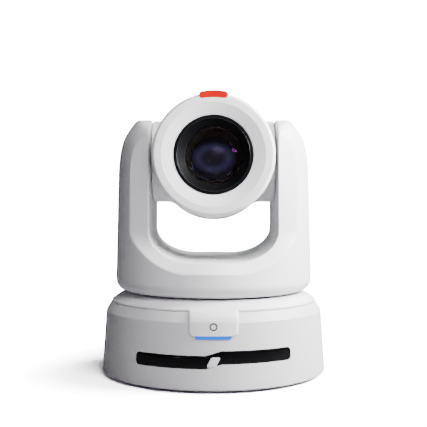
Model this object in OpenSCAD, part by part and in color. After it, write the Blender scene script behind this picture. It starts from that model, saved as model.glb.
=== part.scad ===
// Pan, tilt and zoom camera: drum base, U-shaped yoke that pans, and a head that tilts in it.
// Millimetres, +Z up, the lens looks along -Y. The origin is on the table under the pan axis.

/* [Base] */
// Diameter of the base drum at its foot
base_d = 186; // [184:1:188]
// Diameter of the base drum at the top of its wall
base_top_d = 179; // [178:1:180]
// Height of the top of the drum wall
wall_top = 52; // [51.5:0.25:52.5]
// Height of the top of the base cover
cover_top = 67; // [66.5:0.25:67.2]
// Wall thickness of the moulded casings
skin = 2.4; // [2.2:0.1:2.5]

/* [Front trim] */
// Width of the tab that hangs from the cover over the drum wall
tab_w = 36.4; // [34:0.2:38]
// Height of the tab's lower edge
tab_foot = 42.6; // [42:0.2:44]
// Width of the status light bar under the tab
light_w = 26.8; // [24:0.2:28]
// Half angle that the glossy strip covers around the drum
strip_half_angle = 40; // [36:1:42]
// Height of the glossy strip's band
strip_h = 9.8; // [9:0.1:10]

/* [Yoke] */
// Diameter of the yoke at its belly
yoke_d = 163; // [162:0.5:164]
// Height of the underside of the yoke
yoke_foot = 68.2; // [68:0.1:68.4]
// Height of the top of the arms
yoke_top = 208.5; // [208:0.5:209]
// Width between the arms
window_w = 101.6; // [101.6:0.2:102]
// Height of the floor between the arms
window_floor = 95; // [94.5:0.5:95]
// Height of the curved corners between the floor and the arms
window_r = 24; // [22:1:26]
// Width of the curved corners between the floor and the arms
window_rx = 36; // [34:1:38]

/* [Head] */
// Height of the tilt axis
tilt_z = 175.2; // [175:0.1:175.4]
// Width of the head between the arms
head_w = 100; // [99.6:0.2:100]
// Diameter of the round ears that face the arms
ear_d = 67.8; // [67:0.2:68]
// Diameter of the front barrel
barrel_d = 96; // [95:0.5:96]
// Distance of the front rim from the tilt axis
head_front = 62; // [61.5:0.5:62]
// Distance of the back of the head from the tilt axis
head_back = 56; // [55:0.5:57]
// Diameter of the opening around the lens
lens_hole_d = 62; // [61:0.5:62]
// Upward tilt of the head as it is stored, in degrees
rest_tilt = 2.7; // [0:0.1:3]

/* [Drives] */
// Teeth on the large pulleys
big_teeth = 90; // [88:1:92]
// Teeth on the motor pulleys
small_teeth = 15; // [14:1:16]
// Distance between the teeth of the belts
belt_pitch = 2.032; // [2.03:0.001:2.034]
// Distance between the pan axis and the pan motor
pan_motor_y = 48; // [46:1:50]
// Distance between the tilt axis and the tilt motor
tilt_motor_drop = 63; // [62:1:64]

/* [Mounting] */
// Diameter of the thread for a tripod screw, 1/4 inch
tripod_d = 6.35; // [6.35:0.01:6.4]
// Spacing of the four bracket holes
bracket_spacing = 70; // [68:1:72]
// Diameter of the bracket holes
bracket_hole_d = 4.2; // [4:0.1:4.4]

/* [Hidden] */
$fn = 72;

gap = 0.05;             // clearance between pieces that fit together
far = 300;              // longer than anything here

// Base heights and radii
base_r = base_d / 2;
base_top_r = base_top_d / 2;
foot_h = 1.5;           // rubber feet
plate_t = 2.5;          // steel base plate
plate_top = foot_h + plate_t;
housing_foot = 2.2;     // lower edge of the drum wall
shoulder_r = 85.3;      // end of the bevel above the wall
shoulder_z = 59.2;
cover_r = 84.6;
cover_hole_r = 40;
post_r = 66;            // bracket posts and feet stand at this radius
bracket_z = 50;         // underside of the pan bracket
bracket_t = 3;

// Rear connector recess
panel_y = 74;           // outer face of the connector panel
panel_half_w = 50;
panel_low = 8;
panel_high = 48;
board_z = 14;           // underside of the main board
board_t = 1.6;
socket_y = panel_y + 1.5;

// Yoke
belly_r = yoke_d / 2;
belly_corner = 10;
belly_z = yoke_foot + belly_corner;
window_half = window_w / 2;
rim_half = 66;          // outer edge of the front facet on the arms
rim_floor = 87;         // outer edge of the front facet under the floor
rim_r = 20;             // its corner's height and width
rim_rx = 40;
facet_r = 73.8;         // the facet's inner edge lies on this radius
brow_y = 23.6;          // where the top of an arm starts to slope down
brow_z = 208.5;
brow_slope = 21;
frame_z = 71;           // underside of the yoke frame
frame_t = 3;
upright_x = 59.5;       // inner face of the frame's uprights
upright_half = 26;

// Shafts and bearings
pan_shaft_r = 10;
pan_bore_r = 6;
tilt_shaft_r = 6;
tilt_bearing_r = 10.5;
pulley_t = 4.2;
belt_t = 1.3;
big_r = big_teeth * belt_pitch / (2 * PI) - 0.25;
small_r = small_teeth * belt_pitch / (2 * PI) - 0.25;
pan_pulley_z = 55.4;
tilt_pulley_x = -58.6;  // outer face of the tilt pulley
motor_r = 17.5;
rotor_r = 1.5;

// Head and lens, measured from the tilt axis, forwards positive
barrel_r = barrel_d / 2;
ear_r = ear_d / 2;
head_half = head_w / 2;
dish_r = 40.4;          // where the dished face meets the rim
rim_face_r = 46.3;
glass_r = 22.6;
tube_r = 27;
bore_r = 23.6;
rod_r = 1.25;
rod_at = 20.3;
cable_r = 2;

// ---------- helpers ----------

// Points of an arc about [cx, cy] from angle a0 to a1.
function arc(cx, cy, r, a0, a1, n = 6) =
    [for (i = [0:n]) let (a = a0 + (a1 - a0) * i / n) [cx + r * cos(a), cy + r * sin(a)]];

// Points of a quarter or half of an ellipse about [cx, cy] with half axes rx and ry.
function oval(cx, cy, rx, ry, a0, a1, n = 14) =
    [for (i = [0:n]) let (a = a0 + (a1 - a0) * i / n) [cx + rx * cos(a), cy + ry * sin(a)]];

// A solid of revolution about the line of sight; the profile is [radius, distance forwards].
module turned(points) {
    rotate([90, 0, 0]) rotate_extrude() polygon(points);
}

// A cylinder along X from x0 to x1.
module bar_x(r, x0, x1) {
    translate([x0, 0, 0]) rotate([0, 90, 0]) cylinder(r = r, h = x1 - x0);
}

// A cylinder along Y from y0 to y1.
module bar_y(r, y0, y1) {
    translate([0, y1, 0]) rotate([90, 0, 0]) cylinder(r = r, h = y1 - y0);
}

// A box given by its lowest and highest corners.
module box(a, b) {
    translate(a) cube(b - a);
}

// Puts pieces drawn about the tilt axis into the head at its stored tilt.
module in_head() {
    translate([0, 0, tilt_z]) rotate([-rest_tilt, 0, 0]) children();
}

// A timing pulley with square-cut teeth around the Z axis.
module pulley(teeth, r, h, bore) {
    tooth = 360 / teeth;
    depth = 0.5;
    outline = [for (i = [0:teeth - 1], p = [[0, r], [0.5, r], [0.5, r - depth], [1, r - depth]])
        let (a = (i + p[0]) * tooth) p[1] * [cos(a), sin(a)]];
    difference() {
        linear_extrude(h) polygon(outline);
        translate([0, 0, -1]) cylinder(r = bore, h = h + 2);
    }
}

// A flat belt around two pulleys that stand centre apart along X.
module belt(r1, r2, centre, h) {
    module loop(extra) {
        hull() {
            circle(r1 + extra, $fn = 90);
            translate([centre, 0]) circle(r2 + extra, $fn = 40);
        }
    }
    linear_extrude(h) difference() {
        loop(0.15 + belt_t);
        loop(0.15);
    }
}

// A round stepper motor along +Z: its face is at 0 and its body hangs below.
module stepper(depth) {
    difference() {
        union() {
            translate([0, 0, -depth]) cylinder(r = motor_r, h = depth);
            translate([-motor_r - 3.5, -4, -1.5]) cube([2 * motor_r + 7, 8, 1.5]);
            cylinder(r = 5, h = 1.4);
        }
        translate([0, 0, -8]) cylinder(r = rotor_r + gap, h = 12);
        for (side = [-1, 1])
            translate([side * (motor_r + 1.5), 0, -3]) cylinder(r = 1.1, h = 6);
    }
}

// A ball bearing around Z: two rings and a row of balls between them.
module bearing(bore, outer, h, balls) {
    mid = (bore + outer) / 2;
    wall = (outer - bore) * 0.28;
    difference() {
        cylinder(r = outer, h = h);
        translate([0, 0, -1]) cylinder(r = outer - wall, h = h + 2);
    }
    difference() {
        cylinder(r = bore + wall, h = h);
        translate([0, 0, -1]) cylinder(r = bore, h = h + 2);
    }
    for (i = [0:balls - 1])
        rotate([0, 0, i * 360 / balls]) translate([mid, 0, h / 2])
            sphere(r = (outer - bore) / 2 - wall - 0.02);
}

// A machine screw whose head stands on z = 0 and whose shank points down.
module screw(head_r, head_h, shank_r, length) {
    difference() {
        cylinder(r = head_r, h = head_h);
        for (turn = [0, 90])
            rotate([0, 0, turn]) translate([-head_r * 0.6, -0.35, head_h * 0.45])
                cube([head_r * 1.2, 0.7, head_h]);
    }
    translate([0, 0, -length]) cylinder(r = shank_r, h = length + 0.2);
}

// A route in the XZ plane with each inner corner turned into an arc of radius r.
function rounded(route, r) = [
    for (i = [0:len(route) - 1])
        if (i == 0 || i == len(route) - 1) route[i]
        else let (
            p = route[i],
            u = (route[i - 1] - p) / norm(route[i - 1] - p),
            v = (route[i + 1] - p) / norm(route[i + 1] - p),
            half = acos(u * v) / 2,
            back = r / tan(half),
            centre = p + (u + v) / norm(u + v) * r / sin(half),
            s = p + u * back - centre,
            e = p + v * back - centre,
            turn = 180 - 2 * half,
            dir = (s[0] * e[1] - s[1] * e[0]) > 0 ? 1 : -1
        ) each [for (k = [0:4]) let (a = dir * turn * k / 4)
            centre + [s[0] * cos(a) - s[1] * sin(a), s[0] * sin(a) + s[1] * cos(a)]]
];

// A cable of radius r swept along a route in the XZ plane.
module cable(route, r, sides = 10) {
    n = len(route);
    dir = [for (i = [0:n - 1])
        let (d = route[min(i + 1, n - 1)] - route[max(i - 1, 0)]) d / norm(d)];
    rings = [for (i = [0:n - 1], k = [0:sides - 1])
        let (a = 360 * k / sides, c = r * cos(a), s = r * sin(a))
        [route[i][0] - dir[i][1] * c, s, route[i][1] + dir[i][0] * c]];
    walls = [for (i = [0:n - 2], k = [0:sides - 1])
        let (m = (k + 1) % sides)
        [i * sides + k, i * sides + m, (i + 1) * sides + m, (i + 1) * sides + k]];
    first = [for (k = [0:sides - 1]) sides - 1 - k];
    last = [for (k = [0:sides - 1]) (n - 1) * sides + k];
    polyhedron(points = rings, faces = concat(walls, [first, last]));
}

// ---------- base ----------

// Outer form of the drum wall and its bevel, taken in by t.
function drum_profile(t) = [
    [0, housing_foot + t], [base_r - 0.8 - t, housing_foot + t], [base_r - t, housing_foot + 0.8 + t],
    [base_top_r - t, wall_top - t * 0.4], [shoulder_r - t, shoulder_z - t], [0, shoulder_z - t]
];

// Drum wall radius at height z.
function wall_r(z) =
    base_r + (base_top_r - base_r) * (z - housing_foot - 0.8) / (wall_top - housing_foot - 0.8);

// A part of the drum wall between two radii offsets, two heights and two angles.
module wall_patch(in, out, low, high, a0, a1) {
    rotate([0, 0, a0]) rotate_extrude(angle = a1 - a0)
        polygon([
            [wall_r(low) + in, low], [wall_r(low) + out, low],
            [wall_r(high) + out, high], [wall_r(high) + in, high]
        ]);
}

strip_low = 18.3;       // lower edge of the strip on its left half
strip_step = 3.5;       // how much higher the right half sits

module strip_form(in, out, spare) {
    wall_patch(in, out, strip_low - spare, strip_low + strip_h + spare,
        270 - strip_half_angle - spare, 271.5 + spare);
    high = strip_low + strip_step;
    wall_patch(in + 0.03, out - 0.03, high - spare, high + strip_h + spare,
        268.5 - spare, 270 + strip_half_angle + spare);
}

base_screw_angles = [15, 165, 215, 270, 325];
base_screw_r = 86;

module at_base_screws() {
    for (a = base_screw_angles)
        rotate([0, 0, a]) translate([base_screw_r, 0, 0]) children();
}

module at_corners(x, y) {
    for (sx = [-1, 1], sy = [-1, 1])
        translate([sx * x, sy * y, 0]) children();
}

module at_posts() {
    for (a = [45:90:315])
        rotate([0, 0, a]) translate([post_r, 0, 0]) children();
}

module at_feet() {
    for (a = [45:90:315])
        rotate([0, 0, a]) translate([post_r + 12, 0, 0]) children();
}

module base_plate() {
    color("#2a2c2e") difference() {
        translate([0, 0, foot_h]) cylinder(r = base_r - 2.6, h = plate_t);
        translate([0, 0, foot_h - 1]) cylinder(r = 6 + gap, h = plate_t + 2);
        at_corners(bracket_spacing / 2, bracket_spacing / 2)
            translate([0, 0, foot_h - 1]) cylinder(d = bracket_hole_d, h = plate_t + 2);
        at_base_screws() translate([0, 0, foot_h - 1]) cylinder(r = 1.6, h = plate_t + 2);
        at_base_screws() translate([0, 0, foot_h - 1]) cylinder(r = 3.1, h = 2.2);
        at_feet() translate([0, 0, foot_h - 1]) cylinder(r = 8 + gap, h = 1.8);
    }
}

module rubber_feet() {
    color("#1b1b1c") at_feet() {
        cylinder(r1 = 7.2, r2 = 8, h = 0.8);
        translate([0, 0, 0.8]) cylinder(r = 8, h = foot_h);
    }
}

module tripod_insert() {
    color("#b59a5a") difference() {
        union() {
            translate([0, 0, foot_h]) cylinder(r = 6, h = 8);
            translate([0, 0, plate_top]) cylinder(r = 9, h = 2);
        }
        translate([0, 0, foot_h - 1]) cylinder(d = tripod_d, h = far);
    }
}

module base_housing() {
    color("#e9eaeb") difference() {
        union() {
            difference() {
                rotate_extrude() polygon(drum_profile(0));
                rotate_extrude() polygon([
                    [0, 0], [base_r - skin - 0.1, 0], [base_r - skin - 0.1, housing_foot + 2],
                    [base_top_r - skin, wall_top - 1], [shoulder_r - skin - 0.6, shoulder_z - skin],
                    [0, shoulder_z - skin]
                ]);
            }
            intersection() {
                box([-panel_half_w - 2.4, panel_y - 1.6, panel_low - 2.4],
                    [panel_half_w + 2.4, base_r, panel_high + 2.4]);
                rotate_extrude() polygon(drum_profile(0));
            }
            at_base_screws() translate([0, 0, plate_top]) cylinder(r = 5, h = 13.8);
        }
        translate([0, 0, shoulder_z - 5]) cylinder(r = 79, h = 10);
        box([-panel_half_w, panel_y - 2, panel_low], [panel_half_w, far, panel_high]);
        strip_form(-0.9, 2, gap);
        at_base_screws() cylinder(r = 1.55, h = 16);
    }
}

cover_profile = [
    [cover_hole_r, cover_top - skin], [cover_hole_r, cover_top], [74.5, cover_top],
    [78.2, cover_top - 1.5], [cover_r, 61], [cover_r, shoulder_z + 0.4], [80.5, shoulder_z + 0.4],
    [77.2, cover_top - skin - 1.6], [74, cover_top - skin]
];
tab_profile = [
    [81, 61.6], [81, 62.8], [85, 61.3], [90.7, 54.2], [wall_r(tab_foot) + 0.9, tab_foot],
    [wall_r(tab_foot) + gap, tab_foot], [base_top_r + gap, wall_top + gap],
    [shoulder_r + gap, shoulder_z + gap], [83.6, 61]
];

module tab_outline(w) {
    r = 3.5;
    translate([0, -60, tab_foot]) rotate([90, 0, 0]) linear_extrude(60) polygon(concat(
        [[w, 30], [-w, 30]], arc(-w + r, r, r, 180, 270), arc(w - r, r, r, 270, 360)
    ));
}

module base_cover() {
    color("#e9eaeb") {
        rotate_extrude() polygon(cover_profile);
        intersection() {
            rotate([0, 0, 240]) rotate_extrude(angle = 60) polygon(tab_profile);
            tab_outline(tab_w / 2);
        }
    }
}

module status_light_bar() {
    h = 2.6;
    top = tab_foot - gap;
    color("#1f93ff") intersection() {
        wall_patch(0.03, 1.0, top - h, top, 240, 300);
        translate([0, 0, top - h]) rotate([90, 0, 0]) linear_extrude(far)
            polygon([
                [-light_w / 2 + 1.4, 0], [light_w / 2 - 1.4, 0],
                [light_w / 2, h], [-light_w / 2, h]
            ]);
    }
}

module accent_strip() {
    color("#0b0b0c") strip_form(-0.85, 0.12, 0);
}

jack_x = [38, 20, -2, -24];             // power, network, USB and HDMI along the panel
upper_x = [-34, -12, 6];                // video and two control sockets
upper_z = 37;
row_z = board_z + board_t;              // sockets stand on the main board
lan_size = [16, 13.4];
usb_size = [14.4, 7.2];
hdmi_size = [15.2, 6.2];

module socket_window(x, size) {
    box([x - size[0] / 2 - gap, panel_y - 5, row_z - gap],
        [x + size[0] / 2 + gap, far, row_z + size[1] + gap]);
}

module io_panel() {
    color("#3b3d40") difference() {
        box([-panel_half_w + 0.1, panel_y - 1.5, panel_low + 0.1],
            [panel_half_w - 0.1, panel_y, panel_high - 0.1]);
        socket_window(jack_x[0], [9, 11]);
        socket_window(jack_x[1], lan_size);
        socket_window(jack_x[2], usb_size);
        socket_window(jack_x[3], hdmi_size);
        for (x = upper_x)
            translate([x, 0, upper_z]) bar_y(5 + gap, panel_y - 5, far);
    }
}

// A metal socket shell with its mouth at the back, open by the given hole.
module socket(x, size, hole, depth, inside) {
    low = row_z + (size[1] - hole[1]) / 2;
    difference() {
        box([x - size[0] / 2, socket_y - depth, row_z], [x + size[0] / 2, socket_y, row_z + size[1]]);
        box([x - hole[0] / 2, socket_y - inside, low], [x + hole[0] / 2, far, low + hole[1]]);
    }
}

module power_jack() {
    color("#1a1a1a") {
        difference() {
            box([jack_x[0] - 4.5, socket_y - 14, row_z], [jack_x[0] + 4.5, socket_y, row_z + 11]);
            translate([jack_x[0], 0, row_z + 6]) bar_y(3.15, socket_y - 10, far);
        }
        translate([jack_x[0], 0, row_z + 6]) bar_y(1.0, socket_y - 11, socket_y - 1);
    }
}

module lan_jack() {
    color("#b9bcc0") socket(jack_x[1], lan_size, [12, 8.4], 20, 12);
}

module usb_port() {
    color("#b9bcc0") socket(jack_x[2], usb_size, [12.4, 5.2], 17, 10);
}

module hdmi_port() {
    color("#b9bcc0") socket(jack_x[3], hdmi_size, [14, 4.7], 12, 8);
}

module sdi_connector() {
    color("#c9ccd0") translate([upper_x[0], 0, upper_z]) {
        difference() {
            union() {
                bar_y(5, panel_y - 14, panel_y + 9.5);
                bar_y(7, panel_y + 0.02, panel_y + 2.4);
                bar_y(7, panel_y - 4, panel_y - 1.52);
                for (side = [-1, 1])
                    translate([0, panel_y + 7, 0]) bar_x(0.9, side > 0 ? 4.5 : -6, side > 0 ? 6 : -4.5);
            }
            bar_y(3.6, panel_y + 3, far);
        }
        bar_y(0.9, panel_y + 2, panel_y + 8);
    }
}

module control_ports() {
    color("#222325") for (x = [upper_x[1], upper_x[2]])
        translate([x, 0, upper_z]) {
            difference() {
                union() {
                    bar_y(5, panel_y - 12, panel_y + 0.8);
                    bar_y(6.4, panel_y - 4, panel_y - 1.52);
                }
                difference() {
                    bar_y(4.3, panel_y - 2.4, far);
                    bar_y(3.4, panel_y - 3, panel_y + 0.2);
                }
            }
        }
}

module main_board() {
    color("#1d5b3a") {
        difference() {
            box([-50, -22, board_z], [50, panel_y - 2, row_z]);
            at_board_holes() translate([0, 0, board_z - 1]) cylinder(r = 1.6, h = 4);
            at_posts() translate([0, 0, board_z - 1]) cylinder(r = 5.5, h = 4);
        }
        box([-14, -16, row_z], [14, -8, row_z + 4]);
        box([-50, 10, row_z], [-38, 34, row_z + 1.4]);
        box([38, 8, row_z], [50, 20, row_z + 1.4]);
        box([-6, -5, row_z], [6, 5, row_z + 3]);
    }
}

module at_board_holes() {
    for (x = [-45, 45], y = [-18, 58])
        translate([x, y, 0]) children();
}

module board_standoffs() {
    color("#c7a45a") at_board_holes() {
        translate([0, 0, plate_top]) cylinder(r = 3, h = board_z - plate_top, $fn = 6);
        translate([0, 0, board_z]) cylinder(r = 1.5, h = board_t);
        translate([0, 0, row_z]) cylinder(r = 2.8, h = 1.6);
    }
}

module board_heat_sink() {
    color("#a9adb2") {
        box([-18, 14, row_z], [18, 50, row_z + 3]);
        for (i = [0:6])
            box([-18 + i * 5.7, 14, row_z + 3], [-16.2 + i * 5.7, 50, row_z + 11]);
    }
}

// ---------- pan drive ----------

module pan_bracket() {
    housing_r = 20;
    color("#b4b8bd") difference() {
        union() {
            translate([0, 0, bracket_z]) cylinder(r = 72, h = bracket_t);
            translate([0, 0, 41.5]) cylinder(r = housing_r, h = bracket_z - 41);
        }
        translate([0, 0, 43]) cylinder(r = 16, h = far);
        translate([0, 0, 40]) cylinder(r = 13, h = far);
        translate([0, -pan_motor_y, bracket_z - 1]) cylinder(r = 5.2, h = 5);
        for (side = [-1, 1])
            translate([side * (motor_r + 1.5), -pan_motor_y, bracket_z - 1]) cylinder(r = 1.2, h = 5);
        at_posts() translate([0, 0, bracket_z - 1]) cylinder(r = 1.6, h = 5);
        for (a = [0, 90, 180])
            rotate([0, 0, a]) translate([46, 0, bracket_z - 1]) cylinder(r = 13, h = 5);
    }
}

module pan_bracket_posts() {
    color("#c7a45a") at_posts() {
        translate([0, 0, plate_top]) cylinder(r = 3.5, h = bracket_z - plate_top, $fn = 6);
        translate([0, 0, bracket_z]) cylinder(r = 1.5, h = bracket_t);
        translate([0, 0, bracket_z + bracket_t]) cylinder(r = 2.8, h = 1.6);
    }
}

module pan_bearing() {
    color("#cfd2d6") translate([0, 0, 43.02]) bearing(pan_shaft_r + gap, 16 - 0.02, 7, 12);
}

module pan_motor() {
    color("#8d9095") translate([0, -pan_motor_y, bracket_z]) stepper(21);
}

// The rotor of a motor: its shaft and toothed pulley, from the motor's face at z = 0.
module rotor(pulley_low) {
    translate([0, 0, -7]) cylinder(r = rotor_r, h = pulley_low + pulley_t + 7.5);
    translate([0, 0, pulley_low]) pulley(small_teeth, small_r, pulley_t, rotor_r - 0.2);
}

module pan_motor_pulley() {
    color("#d9c27a") translate([0, -pan_motor_y, bracket_z]) rotor(pan_pulley_z - bracket_z);
}

module pan_belt() {
    color("#202124") translate([0, 0, pan_pulley_z + 0.3]) rotate([0, 0, -90])
        belt(big_r, small_r, pan_motor_y, pulley_t - 0.6);
}

module base_screws() {
    color("#9a9da1") at_base_screws()
        translate([0, 0, foot_h + 1.18]) mirror([0, 0, 1]) screw(3, 1.1, 1.5, 10);
}

module base_harness() {
    color("#303236") translate([0, 0, row_z + 3]) cylinder(r = cable_r, h = 51);
}

// ---------- yoke ----------

module pan_shaft() {
    color("#a9adb2") difference() {
        union() {
            translate([0, 0, 41]) cylinder(r = pan_shaft_r, h = 28);
            translate([0, 0, 67.4]) cylinder(r = 34, h = frame_z - 67.4);
            translate([0, 0, 61]) cylinder(r = 14, h = 7);
        }
        cylinder(r = pan_bore_r, h = far);
        difference() {
            translate([0, 0, 41.6]) cylinder(r = 11, h = 1.2);
            cylinder(r = pan_shaft_r - 0.8, h = far);
        }
    }
}

module pan_retaining_ring() {
    color("#6d7074") translate([0, 0, 41.65]) difference() {
        cylinder(r = 12.2, h = 1.1);
        translate([0, 0, -1]) cylinder(r = pan_shaft_r - 0.75, h = 3);
        box([-2.5, 0, -1], [2.5, 20, 3]);
    }
}

module pan_pulley() {
    color("#d9dadc") translate([0, 0, pan_pulley_z])
        pulley(big_teeth, big_r, pulley_t, pan_shaft_r + 0.02);
}

// Outline of the yoke as turned about the pan axis, taken in by t.
function yoke_profile(t) = concat(
    [[0, yoke_foot + t]],
    arc(belly_r - belly_corner, belly_z, belly_corner - t, -90, 0),
    [
        [78.9 - t, 187], [77.1 - t, 193.2 - t * 0.3], [73.6 - t, 200 - t * 0.5],
        [65.6 - t * 0.8, yoke_top - t], [0, yoke_top - t]
    ]
);

// Radius of the yoke's side at height z.
function yoke_r(z) = belly_r - (belly_r - 78.9) * (z - belly_z) / (187 - belly_z);

// The two edges of the facet around the window, from one arm's top to the other's:
// the inner edge runs round the window and the outer edge lies on the yoke's side.
function window_edge(a) =
    [window_half - window_rx + window_rx * cos(a), window_floor + window_r - window_r * sin(a)];
function rim_edge(a) = [rim_half - rim_rx + rim_rx * cos(a), rim_floor + rim_r - rim_r * sin(a)];
corner_steps = 14;
floor_steps = 8;
half_u = concat(
    [[[window_half, 240], [rim_half, 240]]],
    [for (i = [0:corner_steps]) let (a = 90 * i / corner_steps) [window_edge(a), rim_edge(a)]],
    [for (i = [1:floor_steps]) let (k = 1 - i / floor_steps)
        [[(window_half - window_rx) * k, window_floor], [(rim_half - rim_rx) * k, rim_floor]]]
);

// Everything in front of the facet, as one closed solid that overshoots both of its edges.
module facet_cut() {
    n = len(half_u);
    path = concat(half_u, [for (i = [n - 2:-1:0]) [
        [-half_u[i][0][0], half_u[i][0][1]],
        [-half_u[i][1][0], half_u[i][1][1]]
    ]]);
    m = len(path);
    rings = [for (p = path)
        let (
            inner = p[0],
            outer = p[1],
            yi = -sqrt(pow(facet_r, 2) - pow(inner[0], 2)),
            yo = -sqrt(pow(yoke_r(min(outer[1], 187)), 2) - pow(outer[0], 2)),
            step = 3 * (outer - inner) / norm(outer - inner),
            rise = 3 * (yo - yi) / norm(outer - inner)
        )
        each [
            [inner[0] - step[0], yi - rise, inner[1] - step[1]],
            [outer[0] + step[0], yo + rise, outer[1] + step[1]],
            [outer[0] + step[0], -110, outer[1] + step[1]],
            [inner[0] - step[0], -110, inner[1] - step[1]]
        ]];
    walls = [for (i = [0:m - 2], k = [0:3])
        let (j = (k + 1) % 4, a = i * 4)
        each [[a + j, a + k, a + 4 + k], [a + j, a + 4 + k, a + 4 + j]]];
    polyhedron(points = rings, faces = concat(walls, [[0, 1, 2, 3]],
        [[(m - 1) * 4 + 3, (m - 1) * 4 + 2, (m - 1) * 4 + 1, (m - 1) * 4]]));
}

// The window between the arms, larger by t all round.
module window_form(t) {
    w = window_half + t;
    rx = window_rx + t;
    rz = window_r + t;
    z = window_floor - t + rz;
    rotate([90, 0, 0]) linear_extrude(2 * far, center = true) polygon(concat(
        [[w, far], [-w, far]],
        oval(-w + rx, z, rx, rz, 180, 270), oval(w - rx, z, rx, rz, 270, 360)
    ));
}

// Everything above the sloping fronts and backs of the arms' tops, lowered by t.
module brow_cut(t) {
    for (sy = [0, 1])
        mirror([0, sy, 0]) translate([0, -brow_y, brow_z - t]) rotate([brow_slope, 0, 0])
            translate([-far, -far, 0]) cube([2 * far, far, far]);
}

module yoke_form() {
    difference() {
        rotate_extrude() polygon(yoke_profile(0));
        window_form(0);
        facet_cut();
        mirror([0, 1, 0]) facet_cut();
        brow_cut(0);
    }
}

// The hollow inside the casing: it stays a wall's thickness behind the facets.
module yoke_hollow() {
    inner = [window_half, -sqrt(pow(facet_r, 2) - pow(window_half, 2))];
    outer = [rim_half, -sqrt(pow(78.9, 2) - pow(rim_half, 2))];
    lean = atan2(outer[1] - inner[1], outer[0] - inner[0]);
    difference() {
        rotate_extrude() polygon(yoke_profile(skin));
        window_form(skin);
        brow_cut(skin);
        for (sx = [0, 1], sy = [0, 1])
            mirror([sx, 0, 0]) mirror([0, sy, 0]) translate(outer) rotate([0, 0, lean])
                translate([-far, skin - far, 0]) cube([2 * far, far, far]);
    }
}

yoke_screw_x = 68.5;
yoke_screw_z = [145, 192.3];
yoke_screw_seat = 22;

module at_yoke_screws() {
    for (x = [-yoke_screw_x, yoke_screw_x], z = yoke_screw_z)
        translate([x, 0, z]) children();
}

// One half of the yoke's casing: side -1 is the front, 1 the back.
module yoke_half(side) {
    y0 = side < 0 ? -far : gap;
    y1 = side < 0 ? -gap : far;
    difference() {
        intersection() {
            union() {
                difference() {
                    yoke_form();
                    yoke_hollow();
                }
                intersection() {
                    at_yoke_screws() bar_y(3.8, y0, y1);
                    rotate_extrude() polygon(yoke_profile(1));
                }
            }
            box([-far, y0, 0], [far, y1, far]);
        }
        cylinder(r = 36, h = yoke_foot + skin + 1);
        translate([0, 0, tilt_z]) bar_x(9, -window_half - skin - 1, window_half + skin + 1);
        at_yoke_screws() bar_y(side < 0 ? 1.55 : 1.7, -12, far);
        if (side > 0)
            at_yoke_screws() bar_y(3.2, yoke_screw_seat, far);
    }
}

module yoke_front_shell() {
    color("#eceded") yoke_half(-1);
}

module yoke_rear_shell() {
    color("#eceded") yoke_half(1);
}

module yoke_screws() {
    color("#9a9da1") at_yoke_screws()
        translate([0, yoke_screw_seat, 0]) rotate([-90, 0, 0]) screw(2.9, 2, 1.5, 32);
}

module yoke_frame() {
    color("#a9adb2") difference() {
        union() {
            translate([0, 0, frame_z]) cylinder(r = 68, h = frame_t);
            for (side = [-1, 1]) {
                box([side > 0 ? upright_x : -upright_x - frame_t, -upright_half, frame_z],
                    [side > 0 ? upright_x + frame_t : -upright_x, upright_half, 198]);
                translate([0, 0, tilt_z])
                    bar_x(13, side > 0 ? upright_x : -upright_x - 6.5,
                        side > 0 ? upright_x + 6.5 : -upright_x);
            }
        }
        translate([0, 0, frame_z - 1]) cylinder(r = pan_bore_r, h = 5);
        for (side = [-1, 1])
            translate([side * upright_x, 0, tilt_z]) {
                bar_x(tilt_bearing_r, side > 0 ? -1 : -5.6, side > 0 ? 5.6 : 1);
                bar_x(8.5, -9, 9);
            }
        translate([0, 0, tilt_z - tilt_motor_drop]) bar_x(5.2, -upright_x - 4, -upright_x + 1);
        for (side = [-1, 1])
            translate([0, side * (motor_r + 1.5), tilt_z - tilt_motor_drop])
                bar_x(1.2, -upright_x - 4, -upright_x + 1);
        box([upright_x - 1, -6, frame_z + frame_t + 1], [upright_x + frame_t + 1, 6, 84]);
        for (x = [-40, 0, 40])
            translate([x, x == 0 ? 46 : 0, frame_z - 1]) cylinder(r = x == 0 ? 10 : 12, h = 5);
    }
}

module tilt_bearing_left() {
    color("#cfd2d6") translate([-upright_x - 5.5, 0, tilt_z]) rotate([0, 90, 0])
        bearing(tilt_shaft_r + gap, tilt_bearing_r - 0.02, 5, 9);
}

module tilt_bearing_right() {
    color("#cfd2d6") translate([upright_x + 0.5, 0, tilt_z]) rotate([0, 90, 0])
        bearing(tilt_shaft_r + gap, tilt_bearing_r - 0.02, 5, 9);
}

module tilt_motor() {
    color("#8d9095") translate([-upright_x - frame_t, 0, tilt_z - tilt_motor_drop])
        rotate([0, 90, 0]) rotate([0, 0, 90]) stepper(11.5);
}

module tilt_motor_pulley() {
    color("#d9c27a") translate([-upright_x - frame_t, 0, tilt_z - tilt_motor_drop])
        rotate([0, 90, 0]) rotor(tilt_pulley_x + upright_x + frame_t);
}

module tilt_belt() {
    color("#202124") translate([tilt_pulley_x + 0.3, 0, tilt_z]) rotate([0, 90, 0])
        belt(big_r, small_r, tilt_motor_drop, pulley_t - 0.6);
}

module driver_board() {
    x = upright_x + frame_t;
    color("#1d5b3a") {
        box([x + 2.5, -20, 92], [x + 4.1, 20, 140]);
        for (y = [-16, 16], z = [96, 136])
            translate([0, y, z]) bar_x(2.2, x, x + 2.5);
        box([x + 4.1, -12, 100], [x + 5.3, -2, 110]);
        box([x + 4.1, 3, 100], [x + 5.3, 13, 110]);
        box([x + 4.1, 4, 126], [x + 8, 18, 131]);
    }
}

module yoke_harness() {
    color("#303236") cable(rounded([
        [0, frame_z + 0.2], [0, 79], [74.4, 79], [74.4, tilt_z], [66.8, tilt_z]
    ], 3.4), cable_r);
}

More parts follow.
